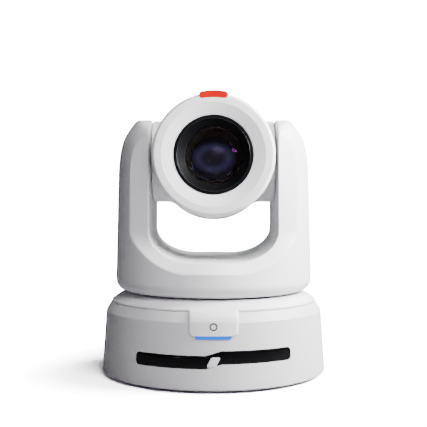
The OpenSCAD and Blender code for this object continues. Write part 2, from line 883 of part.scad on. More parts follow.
// ---------- head ----------

// Solid form of the head about the tilt axis, taken in by t: a front barrel and two round ears.
module head_form(t) {
    turned(concat(
        [[0, head_front - 3.2 - t], [lens_hole_d / 2, head_front - 3.2 - t], [dish_r, head_front - t]],
        [[rim_face_r - 1.8 - t * 0.6, head_front - 0.2 - t]],
        arc(rim_face_r - 2, head_front - 4, 3.7 - t, 70, 0, 4),
        [[barrel_r - t, -30], [barrel_r - 3 - t, -44], [barrel_r - 11 - t, -head_back + 2 + t],
         [barrel_r - 18, -head_back + t], [0, -head_back + t]]
    ));
    bar_x(ear_r - t, -head_half + t, head_half - t);
}

head_screw_x = 20.4;
head_screw_z = 36.8;
head_screw_seat = 37;

module at_head_screws() {
    for (x = [-1, 1], z = [-1, 1])
        translate([x * head_screw_x, 0, z * head_screw_z]) children();
}

tally_angle = 14.5;     // half of the arc that the tally light covers
tally_low = 43.6;
tally_high = 50;
tally_back = 48;

// The tally light's wedge around the line of sight, between two radii.
module tally_form(r0, r1, front, back, angle) {
    intersection() {
        turned([[r0, back], [r1, back], [r1, front], [r0, front]]);
        rotate([90, 0, 0]) linear_extrude(far, center = true)
            polygon([[0, 0], 100 * [sin(angle), cos(angle)], 100 * [-sin(angle), cos(angle)]]);
    }
}

module head_half(front) {
    y0 = front ? -far : gap;
    y1 = front ? -gap : far;
    in_head() difference() {
        intersection() {
            union() {
                difference() {
                    head_form(0);
                    head_form(skin);
                }
                intersection() {
                    at_head_screws() bar_y(4, -30, 70);
                    head_form(1);
                }
            }
            box([-far, y0, -far], [far, y1, far]);
        }
        bar_x(8, -far, far);
        bar_y(lens_hole_d / 2, -far, -head_front + 8);
        tally_form(tally_low - gap, 80, 80, tally_back - gap, tally_angle + 0.1);
        at_head_screws() bar_y(front ? 1.55 : 1.7, -16, far);
        if (!front)
            at_head_screws() bar_y(3.2, head_screw_seat, far);
    }
}

module head_front_shell() {
    color("#f0f1f1") head_half(true);
}

module head_rear_shell() {
    color("#eceded") head_half(false);
}

module head_screws() {
    color("#9a9da1") in_head() at_head_screws()
        translate([0, head_screw_seat, 0]) rotate([-90, 0, 0]) screw(2.9, 2, 1.5, 50);
}

module tally_light() {
    color("#ff3a36") in_head()
        tally_form(tally_low, tally_high, head_front + 0.3, tally_back, tally_angle);
}

module trunnion(side, hollow) {
    s = side;
    flange = [44.5, 47];
    color("#b9bcc0") in_head() difference() {
        union() {
            bar_x(tilt_shaft_r, s > 0 ? flange[0] : -66, s > 0 ? 66 : -flange[0]);
            bar_x(15, s > 0 ? flange[0] : -flange[1], s > 0 ? flange[1] : -flange[0]);
        }
        if (hollow) bar_x(3.5, 40, 70);
        for (a = [45:90:315])
            rotate([a, 0, 0]) translate([0, 0, 11]) bar_x(1.3, -far, far);
    }
}

module trunnion_left() {
    trunnion(-1, false);
}

module trunnion_right() {
    trunnion(1, true);
}

module tilt_pulley() {
    color("#d9dadc") in_head() translate([tilt_pulley_x, 0, 0]) rotate([0, 90, 0])
        pulley(big_teeth, big_r, pulley_t, tilt_shaft_r + 0.02);
}

module head_chassis() {
    color("#a9adb2") in_head() difference() {
        union() {
            for (side = [-1, 1])
                bar_x(30, side > 0 ? 42 : -44.5, side > 0 ? 44.5 : -42);
            for (side = [-1, 1])
                box([-43, -9, side > 0 ? tube_r + 0.1 : -29.6], [43, 9, side > 0 ? 29.6 : -tube_r - 0.1]);
        }
        bar_x(4.5, -far, far);
        for (a = [45:90:315])
            rotate([a, 0, 0]) translate([0, 0, 11]) bar_x(1.3, -far, far);
    }
}

// ---------- lens ----------

bezel_front = head_front - 2.6;

module lens_bezel() {
    r = lens_hole_d / 2 - 0.1;
    color("#111213") in_head() turned([
        [r, bezel_front - 6.8], [r, bezel_front - 0.6], [r - 0.6, bezel_front], [28.9, bezel_front],
        [28.3, bezel_front - 1], [23.4, bezel_front - 8.5], [23.4, bezel_front - 10.4],
        [tube_r, bezel_front - 10.4], [tube_r, bezel_front - 6.8]
    ]);
}

module lens_barrel() {
    front = bezel_front - 10.45;
    color("#1c1d1f") in_head() difference() {
        turned([
            [glass_r + 0.05, front], [tube_r, front], [tube_r, -20], [9.5, -20], [9.5, -16],
            [bore_r, -16], [bore_r, front - 8], [21.2, front - 8], [21.2, front - 6.4],
            [glass_r + 0.05, front - 6.4]
        ]);
        for (a = [0, 180])
            rotate([0, a, 0]) translate([rod_at, 0, 0]) bar_y(rod_r + 0.02, 10, 19);
        for (a = [90, 270])
            rotate([0, a, 0]) translate([rod_at, 0, 0]) bar_y(1.3, 10, 25);
    }
}

// A lens of radius r whose faces bulge by front and back; its rim spans from low to high.
module lens_form(r, low, high, front, back) {
    function bulge(depth, sign, level) = let (big = (r * r + depth * depth) / (2 * depth))
        [for (i = [0:8]) let (x = r * i / 8) [x, level + sign * (sqrt(big * big - x * x) - (big - depth))]];
    hot = bulge(front, 1, high);
    cold = bulge(back, -1, low);
    turned(concat(hot, [for (i = [8:-1:0]) cold[i]]));
}

module front_glass() {
    low = bezel_front - 16.7;
    color("#39406b", 0.5) in_head() lens_form(glass_r, low, low + 3.4, 3.6, 1.6);
}

module lens_baffle() {
    top = bezel_front - 18.6;
    color("#141416") in_head() turned([
        [23.5, top], [23.5, top - 10], [17.5, top - 10], [17.5, top - 7.5], [18.7, top - 7.5],
        [18.7, top - 5], [19.9, top - 5], [19.9, top - 2.5], [21.1, top - 2.5], [21.1, top]
    ]);
}

module rear_lens_group() {
    color("#39406b", 0.6) in_head() lens_form(9.4, -19.2, -16.8, 0.7, 0.7);
}

module lens_guide_rods() {
    color("#d0d3d6") in_head() for (x = [-rod_at, rod_at])
        translate([x, 0, 0]) bar_y(rod_r, -30, 18.8);
}

// A lens in its carrier: two ears slide on the guide rods and a nut rides on its own screw.
module carrier(low, nut) {
    h = 7;
    difference() {
        union() {
            turned([[12, low], [16.2, low], [16.2, low + h], [12, low + h]]);
            for (side = [-1, 1])
                box([side > 0 ? 15 : -22.6, -low - h, -3], [side > 0 ? 22.6 : -15, -low - 2, 3]);
            box([-2.5, -low - h, nut > 0 ? 15 : -22.6], [2.5, -low - 2, nut > 0 ? 22.6 : -15]);
        }
        for (side = [-1, 1])
            translate([side * rod_at, 0, 0]) bar_y(rod_r + gap, -far, far);
        translate([0, 0, nut * rod_at]) bar_y(1.1, -far, far);
    }
    lens_form(12, low + 2.6, low + 4.8, 1.3, 1.3);
}

module zoom_lens_group() {
    color("#26282c") in_head() carrier(22, 1);
}

module focus_lens_group() {
    color("#26282c") in_head() carrier(-14, -1);
}

module lens_motors() {
    color("#8d9095") in_head() for (side = [-1, 1])
        translate([0, 0, side * rod_at]) {
            bar_y(5, 20.1, 31);
            bar_y(1.0, -30, 21);
        }
}

module sensor_board() {
    color("#1d5b3a") in_head() {
        box([-30, 34, -30], [30, 35.6, 30]);
        box([-9, 31.4, -7], [9, 34, 7]);
        for (x = [-26, 26], z = [-26, 26])
            translate([x, 0, z]) bar_y(1.9, 30, 34);
        box([-12, 35.6, 12], [12, 37, 24]);
        box([-10, 35.6, -24], [10, 39, -19]);
    }
}

module head_harness() {
    color("#303236") in_head() cable([[38, 0], [66.4, 0]], cable_r);
}

// ---------- nodes ----------

base_plate();
rubber_feet();
base_housing();
base_cover();
status_light_bar();
accent_strip();
io_panel();
power_jack();
lan_jack();
usb_port();
hdmi_port();
sdi_connector();
control_ports();
main_board();
board_standoffs();
board_heat_sink();
pan_bracket();
pan_bracket_posts();
pan_bearing();
pan_motor();
pan_belt();
base_screws();
base_harness();
tripod_insert();
pan_motor_pulley();
pan_shaft();
pan_retaining_ring();
pan_pulley();
yoke_frame();
yoke_front_shell();
yoke_rear_shell();
yoke_screws();
tilt_bearing_left();
tilt_bearing_right();
tilt_motor();
tilt_belt();
driver_board();
yoke_harness();
tilt_motor_pulley();
head_front_shell();
head_rear_shell();
head_screws();
tally_light();
trunnion_left();
trunnion_right();
tilt_pulley();
head_chassis();
lens_bezel();
lens_barrel();
front_glass();
lens_baffle();
rear_lens_group();
lens_guide_rods();
lens_motors();
sensor_board();
head_harness();
zoom_lens_group();
focus_lens_group();
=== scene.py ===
import math
import bpy
import bmesh
import numpy as np
from mathutils import Matrix, Vector


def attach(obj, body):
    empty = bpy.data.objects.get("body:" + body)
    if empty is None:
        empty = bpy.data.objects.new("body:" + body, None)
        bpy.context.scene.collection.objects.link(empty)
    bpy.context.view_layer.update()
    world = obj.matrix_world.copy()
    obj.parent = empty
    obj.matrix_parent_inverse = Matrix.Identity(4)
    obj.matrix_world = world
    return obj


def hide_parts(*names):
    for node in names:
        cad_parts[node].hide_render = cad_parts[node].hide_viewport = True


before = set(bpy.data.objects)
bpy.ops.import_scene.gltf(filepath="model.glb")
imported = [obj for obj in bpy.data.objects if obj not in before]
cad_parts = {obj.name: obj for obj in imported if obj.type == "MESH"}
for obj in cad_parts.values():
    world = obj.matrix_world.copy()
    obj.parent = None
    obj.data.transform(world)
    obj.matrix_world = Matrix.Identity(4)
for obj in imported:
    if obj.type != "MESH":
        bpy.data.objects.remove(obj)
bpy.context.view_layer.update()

# ---------- Base drum ----------
# The lower casing: a drum of white injection-moulded plastic with a fine satin texture, a bevel at the
# top of its wall and a recess for the sockets at the back. Its white is painted greyer than the other
# white mouldings: painted shade for the darker lower wall.


def srgb(code):
    """Linear colour of an sRGB hex code: c/12.92 below 0.04045, else ((c + 0.055)/1.055)^2.4."""
    c = np.array([int(code[i:i + 2], 16) for i in (1, 3, 5)]) / 255
    return (*np.where(c < 0.04045, c / 12.92, ((c + 0.055) / 1.055) ** 2.4), 1.0)


def put(tree, kind, inputs=(), links=(), **settings):
    """Adds a node, sets its settings and input values, and links the named inputs."""
    node = tree.nodes.new(kind)
    for key, value in settings.items():
        setattr(node, key, value)
    for key, value in dict(inputs).items():
        node.inputs[key].default_value = value
    for key, source in dict(links).items():
        tree.links.new(source, node.inputs[key])
    return node


def plastic(name, code, rough, grain=0.35, relief=0.02, coat=0.0, shine=0.5):
    """Moulded plastic: its texture is grain mm across and relief mm deep, and its gloss varies a little."""
    material = bpy.data.materials.new(name)
    material.use_nodes = True
    tree = material.node_tree
    shader = tree.nodes["Principled BSDF"]
    shader.inputs["Coat Weight"].default_value = coat
    shader.inputs["Coat Roughness"].default_value = 0.05
    shader.inputs["Specular IOR Level"].default_value = shine
    place = put(tree, "ShaderNodeTexCoord").outputs["Object"]
    fine = put(tree, "ShaderNodeTexNoise", {"Scale": 1000 / grain, "Detail": 2.0}, {"Vector": place})
    broad = put(tree, "ShaderNodeTexNoise", {"Scale": 18.0, "Detail": 3.0}, {"Vector": place})
    gloss = put(tree, "ShaderNodeMapRange", {"To Min": rough - 0.05, "To Max": rough + 0.05},
                {"Value": broad.outputs["Fac"]})
    shade = put(tree, "ShaderNodeHueSaturation", {"Color": srgb(code)})
    value = put(tree, "ShaderNodeMapRange", {"To Min": 0.975, "To Max": 1.02},
                {"Value": broad.outputs["Fac"]})
    tree.links.new(value.outputs["Result"], shade.inputs["Value"])
    bump = put(tree, "ShaderNodeBump", {"Strength": 1.0, "Distance": relief / 1000},
               {"Height": fine.outputs["Fac"]})
    tree.links.new(shade.outputs["Color"], shader.inputs["Base Color"])
    tree.links.new(gloss.outputs["Result"], shader.inputs["Roughness"])
    tree.links.new(bump.outputs["Normal"], shader.inputs["Normal"])
    return material


def rounded(points, radii, steps=6):
    """A polyline whose corner i is an arc of radius radii[i], tangent to both sides."""
    out = [np.array(points[0], float)]
    for before, corner, after, r in zip(points, points[1:], points[2:], radii[1:]):
        p = np.array(corner, float)
        u = (np.array(before, float) - p) / np.linalg.norm(np.array(before, float) - p)
        v = (np.array(after, float) - p) / np.linalg.norm(np.array(after, float) - p)
        half = math.acos(np.clip(u @ v, -1, 1)) / 2
        if r == 0 or half > 1.56:
            out.append(p)
            continue
        back = r / math.tan(half)
        centre = p + (u + v) / np.linalg.norm(u + v) * r / math.sin(half)
        a, b = p + u * back - centre, p + v * back - centre
        turn = math.pi - 2 * half
        for k in range(steps + 1):
            t = k / steps
            out.append(centre + (a * math.sin((1 - t) * turn) + b * math.sin(t * turn)) / math.sin(turn))
    out.append(np.array(points[-1], float))
    return np.array(out)


def grid_piece(name, points, material, body, nodes=(), wrap=(True, False), sharp=35.0, drop=None):
    """A mesh over a grid of points in mm, rows by columns; wrap closes it along either direction."""
    rows, columns = points.shape[:2]
    i, j = np.meshgrid(np.arange(rows if wrap[0] else rows - 1),
                       np.arange(columns if wrap[1] else columns - 1), indexing="ij")
    i, j = i.ravel(), j.ravel()
    if drop is not None:
        keep = ~drop(i, j)
        i, j = i[keep], j[keep]
    i2, j2 = (i + 1) % rows, (j + 1) % columns
    faces = np.stack([i * columns + j, i2 * columns + j, i2 * columns + j2, i * columns + j2], 1)
    mesh = bpy.data.meshes.new(name)
    mesh.from_pydata((points.reshape(-1, 3) / 1000).tolist(), [], faces.tolist())
    work = bmesh.new()
    work.from_mesh(mesh)
    bmesh.ops.remove_doubles(work, verts=work.verts, dist=2e-6)
    bmesh.ops.dissolve_degenerate(work, edges=work.edges, dist=1e-6)
    loose = [v for v in work.verts if not v.link_faces]
    bmesh.ops.delete(work, geom=loose, context="VERTS")
    bmesh.ops.recalc_face_normals(work, faces=work.faces)
    work.to_mesh(mesh)
    work.free()
    mesh.shade_smooth()
    mesh.set_sharp_from_angle(angle=math.radians(sharp))
    mesh.materials.append(material)
    piece = bpy.data.objects.new(name, mesh)
    bpy.context.scene.collection.objects.link(piece)
    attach(piece, body)
    for node in nodes:
        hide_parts(node)
    return piece


def ring(profile, angles):
    """Points (r cos a, r sin a, z) for each angle a and each (r, z) of the profile."""
    r, z = profile[:, 0], profile[:, 1]
    return np.stack([np.outer(np.cos(angles), r), np.outer(np.sin(angles), r),
                     np.outer(np.ones_like(angles), z)], -1)


# Painted shade: the same white plastic as the cover, given a greyer white so the drum and its reveals read
# shaded.
white_with_painted_shade = plastic("white casing plastic with painted shade", "#cbcccd", 0.46)
recess_half, recess_low, recess_high, panel_face = 50.0, 8.0, 48.0, 72.2
drum = rounded([[90.4, 2.2], [92.0, 2.2], [93, 3.0], [89.55, 52.0], [85.3, 59.2], [82.4, 59.2], [79, 58.6],
                [79, 56.8]], [0, 0.5, 0.6, 1.4, 0.9, 0.6, 0.4, 0], 7)


def wall(z):
    """Radius of the drum's wall at height z: a straight taper, 93 at z = 3 and 89.55 at z = 52."""
    return 93.0 + (89.55 - 93.0) * (z - 3.0) / 49.0


# The profile gets rows of its own at the recess's height, and the columns behind the recess are
# even in x, so that its opening is a rectangle of dropped cells.
rim = np.array([p for p in drum if p[1] < 3.6 or p[1] > 50.6])
wall_z = np.array([recess_low, 14.0, 20.0, 26.0, 32.0, 38.0, 44.0, recess_high])
low_row = int(np.sum(rim[:, 1] < 20.0))
high_row = low_row + len(wall_z) - 1
profile = np.vstack([rim[:low_row], np.stack([wall(wall_z), wall_z], 1), rim[low_row:]])
r, z = profile[:, 0][None], profile[:, 1][None]
x = np.linspace(recess_half, -recess_half, 41)[:, None]
behind = np.stack([x + 0 * r, np.sqrt(r * r - x * x), z + 0 * x], -1)
span = math.asin(recess_half / 91.0)
a = np.linspace(math.pi / 2 + span, math.pi / 2 - span + 2 * math.pi, 260)[1:-1][:, None]
around = np.stack([r * np.cos(a), r * np.sin(a), z + 0 * a], -1)
grid_piece("base_drum_casing", np.vstack([behind, around]), white_with_painted_shade, "base",
           ["base_housing"], drop=lambda i, j: (i < len(x) - 1) & (j >= low_row) & (j < high_row))

# The recess's four reveals run in from the wall to the connector panel.
along, up = np.linspace(-recess_half, recess_half, 33), np.linspace(recess_low, recess_high, 9)
edge_x = np.concatenate([along, np.full(9, recess_half), -along, np.full(9, -recess_half)])
edge_z = np.concatenate([np.full(33, recess_low), up, np.full(33, recess_high), up[::-1]])
edge_y = np.sqrt(wall(edge_z) ** 2 - edge_x ** 2)
reveal = np.stack([np.stack([edge_x, edge_y + (panel_face - edge_y) * t, edge_z], -1)
                   for t in (0, 0.5, 1)], 1)
grid_piece("socket_recess_reveals", reveal, white_with_painted_shade, "base", sharp=30)

# ---------- Base cover ----------
# A white moulded ring that closes the drum around the turning yoke. A tab of the same moulding hangs
# over the bevel and the front of the wall, and frames the status light.
white_cover = plastic("white cover plastic", "#e3e4e5", 0.42)
cover = rounded([[84.6, 60.9], [84.6, 59.8], [84.1, 59.4], [80.5, 59.4], [76, 62], [60, 63.5], [40, 63.5],
                 [40, 67], [74.0, 67], [78.4, 65.4], [84.6, 61.0], [84.6, 60.9]],
                [0, 0.3, 0.3, 0.5, 2, 1, 1, 0.5, 2.5, 3.0, 0.7, 0], 6)
grid_piece("base_cover_ring", ring(cover, np.linspace(0, 2 * math.pi, 361)[:-1]), white_cover, "base",
           ["base_cover"], wrap=(True, True))


def tab_depth(z):
    """Radius of the tab's outer face at height z: it leaves the cover's slope and bends down the wall."""
    line = np.array([[62.9, 80.8], [61.6, 84.9], [59.6, 87.3], [56.5, 89.6], [53.0, 90.9], [42.6, 91.2]])
    bend = rounded(line, [0, 3, 3, 4, 6, 0], 8)[::-1]
    return np.interp(z, bend[:, 0], bend[:, 1])


# The tab's outline is a rectangle with round lower corners; the rows run from the top down to its foot
# and the columns across it, and the last ring folds back onto the wall.
half_tab, corner, tab_foot, edge_r = 18.4, 3.2, 42.65, 0.7
turn_z = tab_foot + corner
heights = np.concatenate([np.linspace(62.9, 46.0, 34),
                          turn_z - corner * np.sin(np.linspace(0.02, 1, 14) * math.pi / 2)])
drop = np.maximum(turn_z - heights, 0)
half = (half_tab - corner + np.sqrt(np.maximum(corner ** 2 - drop ** 2, 0)))[:, None]
z = heights[:, None]
x = np.linspace(-1, 1, 41)[None] * half
edge = np.minimum(np.maximum(np.abs(x) - (half - edge_r), 0) / edge_r, 1)
face_y = edge_r * (1 - np.sqrt(1 - edge ** 2)) - np.sqrt(tab_depth(z) ** 2 - x ** 2)
face = np.stack([x, face_y, z + 0 * x], -1)
hem_y = -np.sqrt(np.interp(z, [42, 52, 59.2, 63], [90.1, 89.3, 85.0, 79.5]) ** 2 - half ** 2)
tab = np.concatenate([np.stack([-half, hem_y, z], -1), face, np.stack([half, hem_y, z], -1)], 1)
fold = tab[-1:].copy()
fold[..., 1] = -np.sqrt(90.0 ** 2 - fold[..., 0] ** 2)
tab = np.concatenate([tab, fold])
grid_piece("cover_tab", tab, white_cover, "base", wrap=(False, False), sharp=40)

# ---------- Status light ----------
# A translucent bar under the tab, lit blue from behind by a row of diodes: dark plastic whose glow
# changes slightly along its length.


def diffuser(name, code, rough, strength, dim, bright, scale):
    """Translucent plastic that glows between two linear colours, brighter over the diodes behind it."""
    material = bpy.data.materials.new(name)
    material.use_nodes = True
    tree = material.node_tree
    shader = tree.nodes["Principled BSDF"]
    shader.inputs["Base Color"].default_value = srgb(code)
    shader.inputs["Roughness"].default_value = rough
    shader.inputs["Specular IOR Level"].default_value = 0.2
    shader.inputs["Emission Strength"].default_value = strength
    place = put(tree, "ShaderNodeTexCoord").outputs["Object"]
    diodes = put(tree, "ShaderNodeTexNoise", {"Scale": scale, "Detail": 0.0}, {"Vector": place})
    glow = put(tree, "ShaderNodeValToRGB", (), {"Fac": diodes.outputs["Fac"]})
    glow.color_ramp.elements[0].color = dim
    glow.color_ramp.elements[1].color = bright
    tree.links.new(glow.outputs["Color"], shader.inputs["Emission Color"])
    return material


lit_blue = diffuser("lit blue diffuser", "#000a1c", 0.35, 1.45, (0.0, 0.12, 1.0, 1),
                    (0.0, 0.2, 1.0, 1), 160.0)
light_rows = []
for z, half in zip([42.62, 42.2, 40.6, 40.05], [13.6, 13.6, 13.1, 12.3]):
    x = np.linspace(-half, half, 33)
    r = wall(z) + (0.75 if 40.5 < z < 42.5 else 0.45)
    row = np.stack([x, -np.sqrt(r * r - x * x), np.full_like(x, z)], -1)
    light_rows.append(np.vstack([row[:1] + [0, 1.0, 0], row, row[-1:] + [0, 1.0, 0]]))
light_rows = [light_rows[0] + [0, 0.9, 0]] + light_rows + [light_rows[-1] + [0, 0.9, 0]]
grid_piece("status_light_bar", np.array(light_rows), lit_blue, "base", ["status_light_bar"],
           wrap=(False, False), sharp=50)

# ---------- Accent strip ----------
# A band of polished black plastic let into the drum wall. Its right half sits higher than its left, and
# the two halves meet in a slanted step.
gloss_black = plastic("polished black plastic", "#050506", 0.12, grain=3.0, relief=0.002, shine=0.12)
turn = np.radians(np.linspace(-39.9, 39.9, 321))
arc_mm = turn * 91.6
lift = 3.5 * np.clip((arc_mm + 6.0) / 12.0, 0, 1)
cap = np.minimum(np.abs(arc_mm - arc_mm[0]), np.abs(arc_mm - arc_mm[-1]))
taper = np.where(cap < 3.2, 3.2 - np.sqrt(np.maximum(3.2 ** 2 - (3.2 - cap) ** 2, 0)), 0)
mid = 18.3 + 4.9 + lift
strip = []
across = [-1, -1, -0.96, -0.5, 0, 0.5, 0.96, 1, 1]
proud = [-0.6, 0.02, 0.14, 0.14, 0.14, 0.14, 0.14, 0.02, -0.6]
for t, h in zip(across, proud):
    z = mid + t * (4.85 - taper)
    r = wall(z) + h
    strip.append(np.stack([r * np.sin(turn), -r * np.cos(turn), z], -1))
grid_piece("accent_strip", np.array(strip), gloss_black, "base", ["accent_strip"],
           wrap=(False, False), sharp=40)

# ---------- Emblem ----------
# A plain raised ring of dark foil on the tab, and a plain slanted inlay of silver foil over the step
# of the strip.
foil = plastic("dark foil", "#3a3c40", 0.35, grain=0.1, relief=0.002)
t, s = np.meshgrid(np.linspace(0, 2 * math.pi, 65)[:-1], np.linspace(0, 2 * math.pi, 13)[:-1], indexing="ij")
reach = 2.5 + 0.55 * np.cos(s)
x, z = reach * np.cos(t), 49.4 + reach * np.sin(t)
emblem = np.stack([x, -np.sqrt(tab_depth(z) ** 2 - x ** 2) - 0.12 * np.sin(s), z], -1)
grid_piece("emblem_ring", emblem, foil, "base", wrap=(True, True), sharp=60)
silver_foil = plastic("silver foil", "#d3d5d7", 0.3, grain=0.1, relief=0.002)
t = np.linspace(0, 2 * math.pi, 97)[:-1][:, None]
s = np.array([0, 0.3, 0.6, 0.95, 1.0, 1.0, 0])[None, :]
height = np.array([0.32, 0.32, 0.32, 0.32, 0.26, -0.1, -0.1])[None, :]
corner = (np.abs(np.cos(t)) ** 6 + np.abs(np.sin(t)) ** 6) ** (-1 / 6)
z = 23.4 + 3.7 * s * corner * np.sin(t)
x = 3.5 * s * corner * np.cos(t) + 0.5 * (z - 23.4)
inlay = np.stack([x, -np.sqrt((wall(z) + height) ** 2 - x ** 2), z], -1)
grid_piece("strip_inlay", inlay, silver_foil, "base", sharp=60)

# ---------- Base plate, feet and sockets ----------
# The steel plate under the drum is powder coated, the feet are rubber pads, and the sockets at the back
# are plated shells and black mouldings that stand on the main board behind a coated steel panel.


def metal(name, code, rough, stretch=(1, 1, 1), grain=0.5, coat=0.0):
    """Bare or plated metal whose gloss varies along fine marks grain mm apart, drawn out by stretch."""
    material = bpy.data.materials.new(name)
    material.use_nodes = True
    tree = material.node_tree
    shader = tree.nodes["Principled BSDF"]
    shader.inputs["Base Color"].default_value = srgb(code)
    shader.inputs["Metallic"].default_value = 1.0
    shader.inputs["Coat Weight"].default_value = coat
    place = put(tree, "ShaderNodeTexCoord").outputs["Object"]
    drawn = put(tree, "ShaderNodeMapping", {"Scale": stretch}, {"Vector": place})
    marks = put(tree, "ShaderNodeTexNoise", {"Scale": 1000 / grain, "Detail": 3.0},
                {"Vector": drawn.outputs["Vector"]})
    gloss = put(tree, "ShaderNodeMapRange", {"To Min": rough - 0.08, "To Max": rough + 0.1},
                {"Value": marks.outputs["Fac"]})
    tree.links.new(gloss.outputs["Result"], shader.inputs["Roughness"])
    return material


def dress(material, *names):
    """Gives CAD nodes their material."""
    for name in names:
        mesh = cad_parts[name].data
        mesh.materials.clear()
        mesh.materials.append(material)


coated_dark = plastic("dark powder coat", "#26282a", 0.6, grain=0.25, relief=0.03)
foot_rubber = plastic("foot rubber", "#1c1c1d", 0.85, grain=0.5, relief=0.03)
black_plastic = plastic("black moulding", "#18191a", 0.45)
plated = metal("nickel plating", "#c3c6ca", 0.25)
dress(coated_dark, "base_plate", "io_panel")
dress(foot_rubber, "rubber_feet")
dress(plated, "lan_jack", "usb_port", "hdmi_port", "sdi_connector", "base_screws")
dress(black_plastic, "power_jack", "control_ports")

# ---------- Boards and drives ----------
# Inside, out of sight: circuit boards of green glass fibre, milled aluminium frames, steel motors and
# bearings, brass pulleys and posts, and rubber belts and sleeves.
board_green = plastic("green solder mask", "#17583a", 0.35, grain=0.8, relief=0.01, coat=0.3)
milled = metal("milled aluminium", "#b4b7bb", 0.35, stretch=(1, 12, 1))
steel = metal("ground steel", "#a6a9ad", 0.28, stretch=(1, 1, 10))
brass = metal("turned brass", "#c9a75c", 0.25, stretch=(1, 1, 8))
belt_rubber = plastic("belt rubber", "#1a1b1d", 0.7, grain=0.4, relief=0.02)
pulley_plastic = plastic("grey pulley moulding", "#cfd0d2", 0.5)
dress(board_green, "main_board", "driver_board", "sensor_board")
dress(milled, "board_heat_sink", "pan_bracket", "pan_shaft", "yoke_frame", "trunnion_left", "trunnion_right",
      "head_chassis")
dress(steel, "pan_bearing", "pan_motor", "pan_retaining_ring", "yoke_screws", "tilt_bearing_left",
      "tilt_bearing_right", "tilt_motor", "head_screws", "lens_guide_rods", "lens_motors")
dress(brass, "board_standoffs", "pan_bracket_posts", "tripod_insert", "pan_motor_pulley", "tilt_motor_pulley")
dress(belt_rubber, "pan_belt", "tilt_belt", "base_harness", "yoke_harness", "head_harness")
dress(pulley_plastic, "pan_pulley", "tilt_pulley")

# ---------- Yoke casing ----------
# Two white moulded halves that meet at the middle plane. Each is a drum cut by a round-cornered window
# for the head, with a broad facet around the window and a bevel on top of the arms.
white_yoke = plastic("white yoke plastic", "#e1e2e3", 0.44)


def both(a, b, r):
    """Where two solids with distances a and b overlap, with their shared edge rounded by r."""
    return np.minimum(-r, np.maximum(a, b)) + np.hypot(np.maximum(a + r, 0), np.maximum(b + r, 0))


# The window is a slot with an elliptic quarter at each lower corner: its centre stands at corner_x,
# corner_z and its half axes are wide_r and tall_r. The yoke spans yoke_low to yoke_high.
corner_x, corner_z, wide_r, tall_r = 14.8, 119.0, 36.0, 24.0
yoke_low, yoke_high, facet_r = 68.2, 208.5, 73.8


def yoke_distance(x, y, z):
    """Below zero inside the casing: a turned outline, less the window, less the facet around it. The
    ellipse's distance is k0 (k0 - 1)/k1, with k0 = |q/axes| and k1 = |q/axes^2|."""
    x, y = np.abs(x), np.abs(y)
    rho = np.hypot(x, y)
    side = rho - np.interp(z, [60, 78.2, 187, 220], [81.9, 81.5, 78.9, 78.1])
    body = both(yoke_low - z, side, 10.0)
    for r0, z0, r1, z1 in [(78.9, 187, 76.9, 194), (76.9, 194, 73.2, 200.4), (73.2, 200.4, 66.0, 208.0)]:
        n = np.array([z1 - z0, r0 - r1]) / math.hypot(z1 - z0, r0 - r1)
        body = both(body, (rho - r0) * n[0] + (z - z0) * n[1], 6.0)
    body = both(body, z - yoke_high, 1.6)
    brow_fall = 0.385
    body = both(body, (brow_fall * (y - 27.0) + z - 207.2) / math.hypot(1, brow_fall), 3.0)
    qx, qz = x - corner_x, corner_z - z
    k0 = np.hypot(qx / wide_r, qz / tall_r)
    k1 = np.hypot(qx / wide_r ** 2, qz / tall_r ** 2) + 1e-9
    away = np.where((qx > 0) & (qz > 0), k0 * (k0 - 1) / k1, np.maximum(qx - wide_r, qz - tall_r))
    body = both(body, -away, 0.8)
    turn = np.arctan2(qz / tall_r, np.maximum(qx, 1e-9) / wide_r)
    turn = np.where(qz <= 0, 0.0, np.where(qx <= 0, math.pi / 2, turn))
    inner_x = np.where(turn >= math.pi / 2, np.minimum(x, corner_x), corner_x + wide_r * np.cos(turn))
    reach = 15.2 - 7.2 * (turn / (math.pi / 2)) ** 1.5
    norm = np.hypot(np.cos(turn) / wide_r, np.sin(turn) / tall_r)
    outer_x = inner_x + reach * np.cos(turn) / wide_r / norm
    outer_z = corner_z - tall_r * np.sin(turn) - reach * np.sin(turn) / tall_r / norm
    outer_z = np.where(turn <= 0, np.minimum(z, 187), outer_z)
    near = np.sqrt(facet_r ** 2 - inner_x ** 2)
    far = np.sqrt(np.interp(outer_z, [78.2, 187], [81.5, 78.9]) ** 2 - outer_x ** 2)
    slope = (far - near) / reach
    return both(body, (y - near - slope * away) / np.sqrt(1 + slope ** 2), 0.35)


